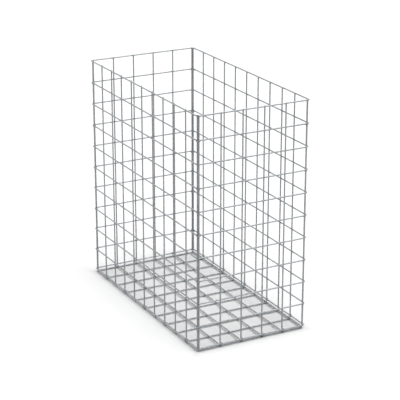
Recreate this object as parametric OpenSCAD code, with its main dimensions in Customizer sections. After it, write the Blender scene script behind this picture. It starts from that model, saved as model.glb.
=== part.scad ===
// Gabion basket, open at the top, made of five flat welded mesh panels and closed wire rings.
// X runs along the length, Y across the width and Z up, with the origin under the middle of the basket.

/* [Mesh] */
// Distance between neighbouring wires, centre to centre
cell = 100; // [60:5:150]
// Cells along the length
cells_long = 10; // [4:2:12]
// Cells across the width
cells_wide = 5; // [3:1:8]
// Cells up the height
cells_high = 10; // [4:2:12]

/* [Wire] */
// Diameter of the mesh wire
wire_d = 6; // [3:0.5:8]
// How deep a weld presses the two layers of wire into each other
weld_setdown = 1.5; // [0.4:0.05:1.5]
// How far a wire's cut end stands past the last wire that it crosses
cut_end = 0.2; // [0:0.1:3]
// Play between one panel and the next
nest_play = 0.3; // [0.2:0.1:1.5]

/* [Rings] */
// Diameter of the ring wire
ring_wire_d = 3; // [2:0.5:4]
// Play between a closed ring and the wires near it
ring_play = 0.3; // [0.2:0.1:0.8]
// Gap left between the two tips of a closed ring
ring_mouth = 1.5; // [0.5:0.5:4]
// Cells from one ring to the next up a corner
corner_step = 2; // [2:1:5]
// Cells from one ring to the next along a long bottom edge
long_step = 2; // [2:1:5]
// Cells from one ring to the next along a short bottom edge
short_step = 1; // [1:1:3]

/* [Hidden] */
$fn = 32;
zinc = [0.63, 0.66, 0.67];
ring_zinc = [0.72, 0.74, 0.75];

wire_r = wire_d / 2;
ring_r = ring_wire_d / 2;
half_long = cells_long * cell / 2;
half_wide = cells_wide * cell / 2;

// The two layers of a panel lie this far apart, centre to centre
layer = wire_d - weld_setdown;
// A wire's end lies this far past the centre of the last wire that it crosses
overhang = wire_r + cut_end;
// The uprights stand this far outside the grid of the base panel.
// It sets the edge uprights of two panels side by side at each corner.
nest = (wire_d + nest_play) / sqrt(2);
// A closed ring's centre line lies this far from the centres of the wires that it holds
ring_seat = wire_r + ring_play + ring_r;
// Heights of the base panel's two layers, with the lowest rings touching the ground
base_low_z = ring_seat + ring_r;
base_high_z = base_low_z + layer;
// Height of the sides' lowest level wires: the uprights' ends stand over the base panel's edge
side_z = base_high_z + wire_r + nest_play + overhang;

// Each corner as [name, side in X, side in Y]
CORNERS = [
    ["front_right", 1, -1],
    ["front_left", -1, -1],
    ["back_right", 1, 1],
    ["back_left", -1, 1]
];
// Each bottom edge as [name, turn about Z, whether it is a long one]
EDGES = [
    ["front", 0, true],
    ["right", 90, false],
    ["back", 180, true],
    ["left", 270, false]
];
corner_rows = [1 : corner_step : cells_high - 1];
long_columns = [1 : long_step : cells_long - 1];
short_columns = [1 : short_step : cells_wide - 1];

function columns(is_long) = is_long ? long_columns : short_columns;
function corner_ring_name(corner, row) = str("corner_ring_", corner[0], "_", row);
function base_ring_name(edge, column) = str("base_ring_", edge[0], "_", column);

// One straight wire along Z, as long as the cells it spans and its two cut ends
module wire(cells) {
    translate([0, 0, -overhang])
        cylinder(h = cells * cell + 2 * overhang, r = wire_r);
}

// A flat panel that stands on X: uprights on Y = 0, level wires welded onto their -Y side
module mesh_panel(cells_across, cells_up) {
    color(zinc)
        union() {
            for (i = [0 : cells_across])
                translate([(i - cells_across / 2) * cell, 0, 0])
                    wire(cells_up);
            for (j = [0 : cells_up])
                translate([-cells_across / 2 * cell, -layer, j * cell])
                    rotate([0, 90, 0])
                        wire(cells_across);
        }
}

// The bottom: wires along X lie over the wires along Y
module base_panel() {
    color(zinc)
        union() {
            for (j = [0 : cells_wide])
                translate([-half_long, j * cell - half_wide, base_high_z])
                    rotate([0, 90, 0])
                        wire(cells_long);
            for (i = [0 : cells_long])
                translate([i * cell - half_long, -half_wide, base_low_z])
                    rotate([-90, 0, 0])
                        wire(cells_wide);
        }
}

// A long side, turned about Z to face the way that it stands
module long_panel(turn) {
    rotate([0, 0, turn])
        translate([0, -half_wide - nest, side_z])
            mesh_panel(cells_long, cells_high);
}

// A short side, turned about Z to face the way that it stands
module end_panel(turn) {
    rotate([0, 0, turn])
        translate([0, -half_long - nest, side_z])
            mesh_panel(cells_wide, cells_high);
}

// Half a turn of ring wire about Z, on the +X side
module ring_bend() {
    rotate([0, 0, -90])
        rotate_extrude(angle = 180)
            translate([ring_seat, 0])
                circle(r = ring_r);
}

// A straight length of ring wire along X, from one place to another
module ring_leg(from_x, to_x, y) {
    translate([from_x, y, 0])
        rotate([0, 90, 0])
            cylinder(h = to_x - from_x, r = ring_r);
}

// A closed C-ring in the XY plane round two wires along Z, which stand spread apart on X.
// Its back is on -Y, and its two cut tips face each other on +Y.
// Half the spread is rounded to a thousandth, so that legs and bends meet in the same plane.
module ring(spread) {
    reach = round(spread * 500) / 1000;
    color(ring_zinc)
        union() {
            translate([reach, 0, 0])
                ring_bend();
            translate([-reach, 0, 0])
                rotate([0, 0, 180])
                    ring_bend();
            ring_leg(-reach, reach, -ring_seat);
            ring_leg(-reach, -ring_mouth / 2, ring_seat);
            ring_leg(ring_mouth / 2, reach, ring_seat);
        }
}

// A ring round the two edge wires of a corner, just under a row of level wires, tips inward
module corner_ring(corner, row) {
    spread = nest * sqrt(2);
    translate([corner[1] * (half_long + nest / 2), corner[2] * (half_wide + nest / 2), 0])
        translate([0, 0, side_z + row * cell - ring_seat])
            rotate([0, 0, atan2(-corner[2], -corner[1]) - 90])
                ring(spread);
}

// A ring round a side's lowest wire and the base's edge wire below it, just past an upright.
// The base's long edge wires are in its upper layer, and its short ones in the lower.
module base_ring(edge, column) {
    is_long = edge[2];
    across = nest + layer;
    rise = (is_long ? base_high_z : base_low_z) - side_z;
    cells = is_long ? cells_long : cells_wide;
    half_depth = is_long ? half_wide : half_long;
    rotate([0, 0, edge[1]])
        translate([column * cell - cells * cell / 2 + ring_seat, 0, 0])
            translate([0, -half_depth - across / 2, side_z + rise / 2])
                rotate([atan2(rise, across), 0, 0])
                    rotate([90, 0, 90])
                        ring(norm([across, rise]));
}

base_panel();
long_panel(0);  // front_panel
long_panel(180);  // back_panel
end_panel(270);  // left_end_panel
end_panel(90);  // right_end_panel
for (corner = CORNERS)
    for (row = corner_rows)
        corner_ring(corner, row);
for (edge = EDGES)
    for (column = columns(edge[2]))
        base_ring(edge, column);
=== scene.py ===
import math
import random

import bpy
import numpy as np
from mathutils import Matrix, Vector


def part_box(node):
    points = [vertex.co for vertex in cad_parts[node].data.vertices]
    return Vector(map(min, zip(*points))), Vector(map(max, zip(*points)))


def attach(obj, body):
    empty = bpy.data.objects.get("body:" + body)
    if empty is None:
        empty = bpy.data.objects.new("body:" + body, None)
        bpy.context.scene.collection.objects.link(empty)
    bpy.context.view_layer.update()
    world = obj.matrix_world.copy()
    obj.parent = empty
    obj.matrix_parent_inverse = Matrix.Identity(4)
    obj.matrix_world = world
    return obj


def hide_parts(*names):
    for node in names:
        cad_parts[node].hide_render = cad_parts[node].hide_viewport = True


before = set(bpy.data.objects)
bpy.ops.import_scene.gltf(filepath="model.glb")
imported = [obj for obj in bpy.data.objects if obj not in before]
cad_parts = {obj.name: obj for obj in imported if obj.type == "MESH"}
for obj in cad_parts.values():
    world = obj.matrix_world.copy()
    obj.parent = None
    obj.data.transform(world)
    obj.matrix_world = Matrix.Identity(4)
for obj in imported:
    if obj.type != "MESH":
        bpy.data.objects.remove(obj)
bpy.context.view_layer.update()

X_AXIS = np.array((1.0, 0.0, 0.0))
Y_AXIS = np.array((0.0, 1.0, 0.0))
Z_AXIS = np.array((0.0, 0.0, 1.0))

# Mesh panels, in metres
CELL = 0.1
WIRE_R = 0.003
WELD_SETDOWN = 0.0015
CUT_END = 0.0002
# Distance between a panel's two layers of wire, centre to centre
LAYER = 2.0 * WIRE_R - WELD_SETDOWN
# How far a wire's end lies past the centre of the last wire that it crosses
OVERHANG = WIRE_R + CUT_END

# Closed rings, in metres
RING_R = 0.0015
RING_PLAY = 0.0003
RING_MOUTH = 0.0015
# Distance from a ring's centre line to the centres of the wires that it holds
RING_SEAT = WIRE_R + RING_PLAY + RING_R

# How finely wires, rings and weld beads are meshed
WIRE_SIDES = 16
RING_SIDES = 14
RING_BEND_STEPS = 14
BEAD_SIDES = 6
BEAD_STEPS = 20
# Distances from a weld, and shares of a cell past it, at which a wire has a ring of vertices
WELD_STATIONS = (-0.0052, -0.0036, -0.0024, -0.0012, 0.0, 0.0012, 0.0024, 0.0036, 0.0052)
CELL_STATIONS = (0.25, 0.5, 0.75)
# A ring of vertices that isn't farther than this from the last one is left out
STATION_GAP = 0.00025

# Marks of welding, in metres: the electrodes' flats, the heated stretch and the flash
FLAT_DEPTH = 0.00022
FLAT_REACH = 0.0026
FLAT_SHARPNESS = 3
WELD_REACH = 0.006
BEAD_R = 0.00045
# Share by which the flash gets thicker and thinner
BEAD_WOBBLE = 0.2

# Waves of the drawn wire, bevels of the cut ends and pinch of the rings, in metres
WAVE = 0.00018
WAVE_LENGTH = 0.37
END_BEVEL = 0.0005
RING_CRIMP = 0.00025
# Share of a ring's half spread over which its back is pinched
CRIMP_REACH = 0.4

# The photograph's camera, with its place in metres, angles in degrees and sensor in millimetres
CAMERA_AT = (5.5092, -2.9130, 2.6585)
# It would look along +Y at an azimuth of 0
CAMERA_AZIMUTH = 61.938
CAMERA_ELEVATION = 19.350
PHOTO_SIZE = 400
FOCAL_PX = 1502.5
SENSOR = 36.0
CLIP_END = 60.0

# Half the side of the floor, in metres
FLOOR_HALF = 14.0
# Half the length and width of the painted shadow: a greyer patch of floor colour under the basket
PAINTED_SHADOW_HALF = (0.5, 0.25)
# The painted shadow starts to fade just inside the patch's edge, and ends a little outside it
PAINTED_SHADOW_EDGE = (-0.01, 0.05)

# Light levels, the direction that the key light comes from, and its spread in degrees
HORIZON_LEVEL = 0.04
ZENITH_LEVEL = 0.10
KEY_IRRADIANCE = 3.3
KEY_FROM = (0.15, 0.05, 0.98)
KEY_SPREAD = 72.0

# Colours, linear
ZINC_LIGHT = (0.500, 0.528, 0.550, 1.0)
ZINC_DARK = (0.340, 0.358, 0.372, 1.0)
WELD_ZINC = (0.300, 0.314, 0.325, 1.0)
RING_LIGHT = (0.550, 0.575, 0.592, 1.0)
RING_DARK = (0.400, 0.420, 0.434, 1.0)
WHITE = (1.0, 1.0, 1.0, 1.0)
# Floor colour of the painted shadow under the basket
PAINTED_SHADOW_GREY = (0.81, 0.81, 0.81, 1.0)
FLOOR_BOUNCE = (0.05, 0.05, 0.05, 1.0)

# How the zinc takes the light
METALLIC = 0.4
MESH_ROUGHNESS = (0.24, 0.38)
RING_ROUGHNESS = (0.20, 0.32)

# Patterns in the zinc: features to the metre, and octaves of detail
SPANGLE_SCALE = 420.0
DRIFT_NOISE = (5.0, 3.0)
PATCH_NOISE = (90.0, 4.0)
LUMP_NOISE = (420.0, 3.0)
GRAIN_NOISE = (2600.0, 2.0)
# Most of a noise lies in the first of these ranges
NOISE_RANGE = (0.3, 0.7)
WHOLE_RANGE = (0.0, 1.0)
# What each pattern adds to the share of light zinc
SPANGLE_TONE = (-0.12, 0.12)
PATCH_TONE = (0.1, 0.9)
DRIFT_TONE = (-0.2, 0.2)
# How much of the welds' own colour shows, away from a weld and on it
WELD_COVER = (0.0, 0.55)
# The grain's height beside the lumps, and the strength and height in metres of the whole relief
GRAIN_HEIGHT = (0.0, 0.35)
BUMP_STRENGTH = 0.5
BUMP_HEIGHT = 0.0003

# Places of the two colours among a mix node's inputs, and of the mixed colour among its outputs
MIX_FIRST = 6
MIX_SECOND = 7
MIX_RESULT = 2

RNG = random.Random(20)


def add_object(name, data):
    """A new object in the scene, with the given data."""
    item = bpy.data.objects.new(name, data)
    bpy.context.scene.collection.objects.link(item)
    return item


class MeshParts:
    """Collects vertices, faces and a weld weight for each vertex, and makes one mesh object of them."""

    def __init__(self):
        self.vertices = []
        self.faces = []
        self.weld = []
        self.count = 0

    def add_tube(self, rings, weld, closed=False):
        """A tube from an array of rings of points, with one weld weight for each ring.

        A closed tube joins its last ring to its first, and an open one has flat caps.
        """
        steps, sides, _ = rings.shape
        base = self.count
        self.vertices.append(rings.reshape(-1, 3))
        self.weld.append(np.repeat(weld, sides))
        self.count += steps * sides
        spans = steps if closed else steps - 1
        for i in range(spans):
            a = base + i * sides
            b = base + ((i + 1) % steps) * sides
            for k in range(sides):
                n = (k + 1) % sides
                self.faces.append((a + k, a + n, b + n, b + k))
        if not closed:
            self.faces.append(tuple(base + k for k in reversed(range(sides))))
            last = base + (steps - 1) * sides
            self.faces.append(tuple(last + k for k in range(sides)))

    def make(self, name):
        """The collected mesh as an object with smooth sides and flat caps."""
        mesh = bpy.data.meshes.new(name)
        mesh.from_pydata(np.vstack(self.vertices).tolist(), [], self.faces)
        mesh.validate()
        attribute = mesh.attributes.new("weld", "FLOAT", "POINT")
        attribute.data.foreach_set("value", np.concatenate(self.weld).astype(np.float32))
        mesh.polygons.foreach_set("use_smooth", [len(p.vertices) == 4 for p in mesh.polygons])
        mesh.update()
        return add_object(name, mesh)


def unit(vectors):
    """A vector, or each row of several, at a length of one."""
    return vectors / np.linalg.norm(vectors, axis=-1, keepdims=True)


def full_turn(steps):
    """Evenly spaced angles round a circle."""
    return np.linspace(0.0, 2.0 * math.pi, steps, endpoint=False)


def falloff(distance, reach):
    """One at no distance, and close to zero at twice the reach."""
    return np.exp(-((distance / reach) ** 2))


def node_box(node):
    """The lowest and the highest corner of a node's box."""
    low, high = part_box(node)
    return np.array(low), np.array(high)


def wire_stations(length, crossings):
    """Distances along a wire at which it has a ring of vertices: close together at the welds and ends."""
    places = [c + d for c in crossings for d in WELD_STATIONS]
    places += [c + CELL * share for c in crossings[:-1] for share in CELL_STATIONS]
    places += [0.0, END_BEVEL, length - END_BEVEL, length]
    inside = sorted(p for p in places if 0.0 <= p <= length)
    kept = inside[:1]
    for p in inside[1:]:
        if p - kept[-1] > STATION_GAP:
            kept.append(p)
    kept[-1] = length
    return np.array(kept)


def add_wire(parts, start, along, toward, length, crossings):
    """One straight drawn wire from start, with its other layer on the toward side.

    The far side from each weld has the slight flat that an electrode leaves, the stretches between
    welds wander by a fraction of a millimetre, and the cut ends are bevelled.
    """
    stations = wire_stations(length, crossings)
    side = np.cross(along, toward)
    angles = full_turn(WIRE_SIDES)
    circle = np.outer(np.cos(angles), toward) + np.outer(np.sin(angles), side)
    from_weld = np.min(np.abs(stations[:, None] - np.array(crossings)[None, :]), axis=1)
    weld = falloff(from_weld, WELD_REACH)
    press = FLAT_DEPTH * falloff(from_weld, FLAT_REACH)
    facing_out = np.clip(-np.cos(angles), 0.0, 1.0) ** FLAT_SHARPNESS
    from_end = np.minimum(stations, length - stations)
    bevel = END_BEVEL * np.clip(1.0 - from_end / END_BEVEL, 0.0, 1.0)
    radius = WIRE_R - press[:, None] * facing_out[None, :] - bevel[:, None]
    phase = RNG.uniform(0.0, 2.0 * math.pi)
    swing = WAVE * (1.0 - weld) * np.sin(phase + stations * 2.0 * math.pi / WAVE_LENGTH)
    centres = start + np.outer(stations, along) + np.outer(swing, side)
    rings = centres[:, None, :] + radius[:, :, None] * circle[None, :, :]
    parts.add_tube(rings, weld)


def add_weld_bead(parts, at, first, second, toward_first):
    """The flash squeezed out along the curve where two crossing wires meet.

    first and second are the directions of the two wires, and toward_first points to the first one's layer.
    """
    half = LAYER / 2.0
    turn = full_turn(BEAD_STEPS)
    height = -(WIRE_R - half) * np.cos(2.0 * turn)
    on_first = np.sign(np.cos(turn)) * np.sqrt(np.clip(WIRE_R**2 - (height + half) ** 2, 0.0, None))
    on_second = np.sign(np.sin(turn)) * np.sqrt(np.clip(WIRE_R**2 - (height - half) ** 2, 0.0, None))
    centres = at + np.outer(on_first, first) + np.outer(on_second, second) + np.outer(height, toward_first)
    outward = unit(centres - at)
    tangent = unit(np.roll(centres, -1, axis=0) - np.roll(centres, 1, axis=0))
    across = np.cross(tangent, outward)
    wobble = [1.0 + BEAD_WOBBLE * RNG.uniform(-1.0, 1.0) for _ in range(BEAD_STEPS)]
    radius = BEAD_R * np.array(wobble)
    angles = full_turn(BEAD_SIDES)
    rings = (centres[:, None, :]
             + radius[:, None, None] * (np.cos(angles)[None, :, None] * outward[:, None, :]
                                        + np.sin(angles)[None, :, None] * across[:, None, :]))
    parts.add_tube(rings, np.ones(BEAD_STEPS), closed=True)


def add_mesh(parts, corner, first, second, normal, cells_first, cells_second):
    """A flat welded mesh. corner is where the outermost wires cross, midway between the two layers.

    Wires along first lie on the normal side, and wires along second lie on the other side of them.
    """
    half = LAYER / 2.0
    for count_across, cells_along, along, across, lift in (
        (cells_second, cells_first, first, second, half),
        (cells_first, cells_second, second, first, -half),
    ):
        length = cells_along * CELL + 2.0 * OVERHANG
        crossings = [OVERHANG + CELL * i for i in range(cells_along + 1)]
        toward = -normal if lift > 0 else normal
        for i in range(count_across + 1):
            start = corner + across * (CELL * i) + normal * lift - along * OVERHANG
            add_wire(parts, start, along, toward, length, crossings)
    for i in range(cells_first + 1):
        for j in range(cells_second + 1):
            at = corner + first * (CELL * i) + second * (CELL * j)
            add_weld_bead(parts, at, first, second, normal)


def cells_between(low, high):
    """How many cells a panel has between its two ends."""
    return round((high - low - 2.0 * OVERHANG) / CELL)


def side_panel(node, level, outward):
    """A side of the basket: level wires on the outside, uprights on the inside."""
    low, high = node_box(node)
    middle = (low + high) / 2.0
    corner = low + OVERHANG * (level + Z_AXIS)
    corner = corner * (level + Z_AXIS) + middle * np.abs(outward)
    parts = MeshParts()
    cells_across = cells_between(low @ level, high @ level)
    cells_up = cells_between(low[2], high[2])
    add_mesh(parts, corner, level, Z_AXIS, outward, cells_across, cells_up)
    return parts.make("dressed_" + node)


def bottom_panel(node):
    """The bottom of the basket: the long wires lie over the short ones."""
    low, high = node_box(node)
    corner = low + OVERHANG * (X_AXIS + Y_AXIS)
    corner[2] = (low[2] + high[2]) / 2.0
    parts = MeshParts()
    cells_x = cells_between(low[0], high[0])
    cells_y = cells_between(low[1], high[1])
    add_mesh(parts, corner, X_AXIS, Y_AXIS, Z_AXIS, cells_x, cells_y)
    return parts.make("dressed_" + node)


def ring_path(reach):
    """Points along a closed ring's centre line in its own plane, from one tip to the other."""
    tip = RING_MOUTH / 2.0
    points = [(tip, RING_SEAT), (tip + END_BEVEL, RING_SEAT), (reach, RING_SEAT)]
    bend = np.linspace(0.0, math.pi, RING_BEND_STEPS + 1)[1:-1]
    points += [(reach + RING_SEAT * math.sin(a), RING_SEAT * math.cos(a)) for a in bend]
    points += [(reach, -RING_SEAT), (0.0, -RING_SEAT), (-reach, -RING_SEAT)]
    points += [(-reach - RING_SEAT * math.sin(a), -RING_SEAT * math.cos(a)) for a in bend]
    points += [(-reach, RING_SEAT), (-tip - END_BEVEL, RING_SEAT), (-tip, RING_SEAT)]
    return np.array(points)


def closed_ring(node, centre, spread_axis, mouth_axis, reach):
    """A C-ring crimped round two wires: slightly pinched in the middle of its back, with bevelled tips."""
    path = ring_path(reach)
    tangent = unit(np.gradient(path, axis=0))
    flat_normal = np.stack([tangent[:, 1], -tangent[:, 0]], axis=1)
    out_normal = np.outer(flat_normal[:, 0], spread_axis) + np.outer(flat_normal[:, 1], mouth_axis)
    plane_normal = np.cross(spread_axis, mouth_axis)
    centres = centre + np.outer(path[:, 0], spread_axis) + np.outer(path[:, 1], mouth_axis)
    on_back = path[:, 1] < 0.0
    pinch = RING_CRIMP * falloff(path[:, 0], CRIMP_REACH * reach) * on_back
    radius = np.full(len(path), RING_R)
    radius[0] -= END_BEVEL
    radius[-1] -= END_BEVEL
    angles = full_turn(RING_SIDES)
    out = ((radius - pinch)[:, None] * np.cos(angles)[None, :])[:, :, None]
    flat = (radius[:, None] * np.sin(angles)[None, :])[:, :, None]
    rings = centres[:, None, :] + out * out_normal[:, None, :] + flat * plane_normal
    parts = MeshParts()
    parts.add_tube(rings, np.zeros(len(path)))
    return parts.make("closed_" + node)


def corner_ring(node):
    """A ring round the two edge wires of an upright corner, tips inward."""
    low, high = node_box(node)
    centre = (low + high) / 2.0
    inward = unit(-np.sign(centre) * (X_AXIS + Y_AXIS))
    spread_axis = np.cross(inward, Z_AXIS)
    width = high[0] - low[0]
    reach = (width / 2.0 - RING_SEAT - RING_R) / abs(spread_axis[0])
    return closed_ring(node, centre, spread_axis, inward, reach)


def base_ring(node):
    """A ring round a side's lowest wire and the base's edge wire inside and below it, tips upward."""
    low, high = node_box(node)
    centre = (low + high) / 2.0
    size = high - low
    across_x = size[0] > size[1]
    inward = -np.sign(centre[0]) * X_AXIS if across_x else -np.sign(centre[1]) * Y_AXIS
    run = max(size[:2]) / 2.0 - RING_SEAT - RING_R
    rise = size[2] / 2.0 - RING_SEAT - RING_R
    spread = inward * run - Z_AXIS * rise
    spread_axis = unit(spread)
    mouth_axis = unit(Z_AXIS - spread_axis * (spread_axis @ Z_AXIS))
    return closed_ring(node, centre, spread_axis, mouth_axis, np.linalg.norm(spread))


class Graph:
    """The node tree of a material or a world, with a short call for each kind of node used often."""

    def __init__(self, owner):
        owner.use_nodes = True
        self.nodes = owner.node_tree.nodes
        self.links = owner.node_tree.links
        self.nodes.clear()

    def feed(self, socket, value):
        """Sets a socket to a constant, or links another node's output to it."""
        if isinstance(value, bpy.types.NodeSocket):
            self.links.new(value, socket)
        else:
            socket.default_value = value

    def add(self, kind, inputs):
        """A new node with the given inputs, each a constant or another node's output."""
        node = self.nodes.new(kind)
        for name, value in inputs.items():
            self.feed(node.inputs[name], value)
        return node

    def coordinates(self, kind):
        """Texture coordinates of one kind."""
        return self.nodes.new("ShaderNodeTexCoord").outputs[kind]

    def noise(self, coordinates, pattern):
        """A noise texture. The pattern is its features to the metre and its octaves of detail."""
        scale, detail = pattern
        inputs = {"Vector": coordinates, "Scale": scale, "Detail": detail}
        return self.add("ShaderNodeTexNoise", inputs).outputs["Fac"]

    def mix(self, factor, first, second):
        """A mix of two colours, each a constant or another node's output."""
        node = self.nodes.new("ShaderNodeMix")
        node.data_type = "RGBA"
        self.feed(node.inputs["Factor"], factor)
        self.feed(node.inputs[MIX_FIRST], first)
        self.feed(node.inputs[MIX_SECOND], second)
        return node.outputs[MIX_RESULT]

    def stretch(self, value, source, target):
        """Stretches a value from one range to another and holds it at the ends."""
        inputs = {"Value": value, "From Min": source[0], "From Max": source[1],
                  "To Min": target[0], "To Max": target[1]}
        return self.add("ShaderNodeMapRange", inputs).outputs["Result"]

    def calculate(self, operation, *values):
        """The result of a math node on one or two values, each a number or another node's output."""
        node = self.nodes.new("ShaderNodeMath")
        node.operation = operation
        for socket, value in zip(node.inputs, values):
            self.feed(socket, value)
        return node.outputs["Value"]


def new_material(name, shader_kind):
    """A node material whose surface is one shader, as the material, its graph and the shader."""
    material = bpy.data.materials.new(name)
    graph = Graph(material)
    shader = graph.nodes.new(shader_kind)
    graph.add("ShaderNodeOutputMaterial", {"Surface": shader.outputs["BSDF"]})
    return material, graph, shader


def zinc_tone(graph, coordinates, patches):
    """The share of light zinc: patches, with fine spangle and slow drifts of tone on top."""
    spangle = graph.add("ShaderNodeTexVoronoi", {"Vector": coordinates, "Scale": SPANGLE_SCALE})
    facet = graph.add("ShaderNodeSeparateColor", {"Color": spangle.outputs["Color"]})
    drift = graph.noise(coordinates, DRIFT_NOISE)
    fine = graph.calculate("ADD",
                           graph.stretch(facet.outputs["Red"], WHOLE_RANGE, SPANGLE_TONE),
                           graph.stretch(patches, NOISE_RANGE, PATCH_TONE))
    return graph.calculate("ADD", fine, graph.stretch(drift, NOISE_RANGE, DRIFT_TONE))


def weld_colour(graph, colour):
    """The given colour, with the welds' duller one over it near each crossing."""
    weld = graph.nodes.new("ShaderNodeAttribute")
    weld.attribute_name = "weld"
    cover = graph.stretch(weld.outputs["Fac"], WHOLE_RANGE, WELD_COVER)
    return graph.mix(cover, colour, WELD_ZINC)


def zinc_relief(graph, coordinates):
    """The normal of a drawn and pitted surface: fine grain on coarser lumps."""
    grain = graph.noise(coordinates, GRAIN_NOISE)
    lumps = graph.noise(coordinates, LUMP_NOISE)
    height = graph.calculate("ADD", graph.stretch(grain, WHOLE_RANGE, GRAIN_HEIGHT), lumps)
    inputs = {"Height": height, "Strength": BUMP_STRENGTH, "Distance": BUMP_HEIGHT}
    return graph.add("ShaderNodeBump", inputs).outputs["Normal"]


def zinc_material(name, light, dark, roughness, welded):
    """Dull galvanised wire, with duller welds if it is welded."""
    material, graph, shader = new_material(name, "ShaderNodeBsdfPrincipled")
    coordinates = graph.coordinates("Object")
    patches = graph.noise(coordinates, PATCH_NOISE)
    colour = graph.mix(zinc_tone(graph, coordinates, patches), dark, light)
    if welded:
        colour = weld_colour(graph, colour)
    shader.inputs["Metallic"].default_value = METALLIC
    graph.feed(shader.inputs["Base Color"], colour)
    graph.feed(shader.inputs["Roughness"], graph.stretch(patches, NOISE_RANGE, roughness))
    graph.feed(shader.inputs["Normal"], zinc_relief(graph, coordinates))
    return material


def seen_directly(graph):
    """One for camera, glossy and transmission rays, and zero for the rest."""
    path = graph.nodes.new("ShaderNodeLightPath").outputs
    seen = graph.calculate("MAXIMUM", path["Is Camera Ray"], path["Is Glossy Ray"])
    return graph.calculate("MAXIMUM", seen, path["Is Transmission Ray"])


def build_world():
    """A plain studio surround: white where it is seen, and a faint fill for the rest of the light."""
    world = bpy.data.worlds.new("studio")
    bpy.context.scene.world = world
    graph = Graph(world)
    direction = graph.add("ShaderNodeSeparateXYZ", {"Vector": graph.coordinates("Generated")})
    fill = graph.stretch(direction.outputs["Z"], WHOLE_RANGE, (HORIZON_LEVEL, ZENITH_LEVEL))
    strength = graph.calculate("MAXIMUM", fill, seen_directly(graph))
    background = graph.add("ShaderNodeBackground", {"Color": WHITE, "Strength": strength})
    graph.add("ShaderNodeOutputWorld", {"Surface": background.outputs["Background"]})


def outside_painted_shadow(graph):
    """The mask of the painted shadow: zero on the floor under the basket and one away from it, with a soft
    edge.
    """
    place = graph.add("ShaderNodeSeparateXYZ", {"Vector": graph.coordinates("Object")})
    beyond_x, beyond_y = (
        graph.calculate("SUBTRACT", graph.calculate("ABSOLUTE", place.outputs[axis]), half)
        for axis, half in zip(("X", "Y"), PAINTED_SHADOW_HALF)
    )
    beyond = graph.calculate("MAXIMUM", beyond_x, beyond_y)
    return graph.stretch(beyond, PAINTED_SHADOW_EDGE, WHOLE_RANGE)


def build_floor():
    """A white floor that keeps the basket's real soft shadow, is painted grey under the basket as a
    painted shadow, and is plain white away from it.
    """
    mesh = bpy.data.meshes.new("floor")
    corners = [(x * FLOOR_HALF, y * FLOOR_HALF, 0.0) for x, y in ((-1, -1), (1, -1), (1, 1), (-1, 1))]
    mesh.from_pydata(corners, [], [(0, 1, 2, 3)])
    floor = add_object("floor", mesh)
    material, graph, shader = new_material("floor_white_painted_shadow", "ShaderNodeBsdfDiffuse")
    # Painted shadow: the floor colour is grey under the basket for camera, glossy and transmission rays
    seen = graph.mix(outside_painted_shadow(graph), PAINTED_SHADOW_GREY, WHITE)
    graph.feed(shader.inputs["Color"], graph.mix(seen_directly(graph), FLOOR_BOUNCE, seen))
    mesh.materials.append(material)


def build_key_light():
    """One broad soft light from almost straight overhead."""
    lamp = bpy.data.lights.new("key", "SUN")
    lamp.energy = KEY_IRRADIANCE
    lamp.angle = math.radians(KEY_SPREAD)
    light = add_object("key", lamp)
    light.rotation_euler = Vector(KEY_FROM).to_track_quat("Z", "Y").to_euler()


def build_camera():
    """The photograph's own viewpoint: level, with no shift."""
    data = bpy.data.cameras.new("camera")
    data.sensor_width = SENSOR
    data.lens = SENSOR * FOCAL_PX / PHOTO_SIZE
    data.clip_end = CLIP_END
    camera = add_object("camera", data)
    camera.location = CAMERA_AT
    camera.rotation_euler = (math.radians(90.0 - CAMERA_ELEVATION), 0.0, math.radians(CAMERA_AZIMUTH))
    bpy.context.scene.camera = camera


def dress(piece, node, material):
    """Gives a piece its material and its place on the basket's one body."""
    piece.data.materials.append(material)
    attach(piece, "root")
    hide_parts(node)


def build_basket():
    """Dresses every panel and ring."""
    mesh_zinc = zinc_material("mesh_zinc", ZINC_LIGHT, ZINC_DARK, MESH_ROUGHNESS, True)
    ring_zinc = zinc_material("ring_zinc", RING_LIGHT, RING_DARK, RING_ROUGHNESS, False)
    sides = {
        "front_panel": (X_AXIS, -Y_AXIS),
        "back_panel": (X_AXIS, Y_AXIS),
        "left_end_panel": (Y_AXIS, -X_AXIS),
        "right_end_panel": (Y_AXIS, X_AXIS),
    }
    dress(bottom_panel("base_panel"), "base_panel", mesh_zinc)
    for node, (level, outward) in sides.items():
        dress(side_panel(node, level, outward), node, mesh_zinc)
    for node in sorted(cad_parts):
        if node.startswith("corner_ring"):
            dress(corner_ring(node), node, ring_zinc)
        if node.startswith("base_ring"):
            dress(base_ring(node), node, ring_zinc)


build_basket()
build_world()
build_floor()
build_key_light()
build_camera()
bpy.context.scene.view_settings.view_transform = "Standard"
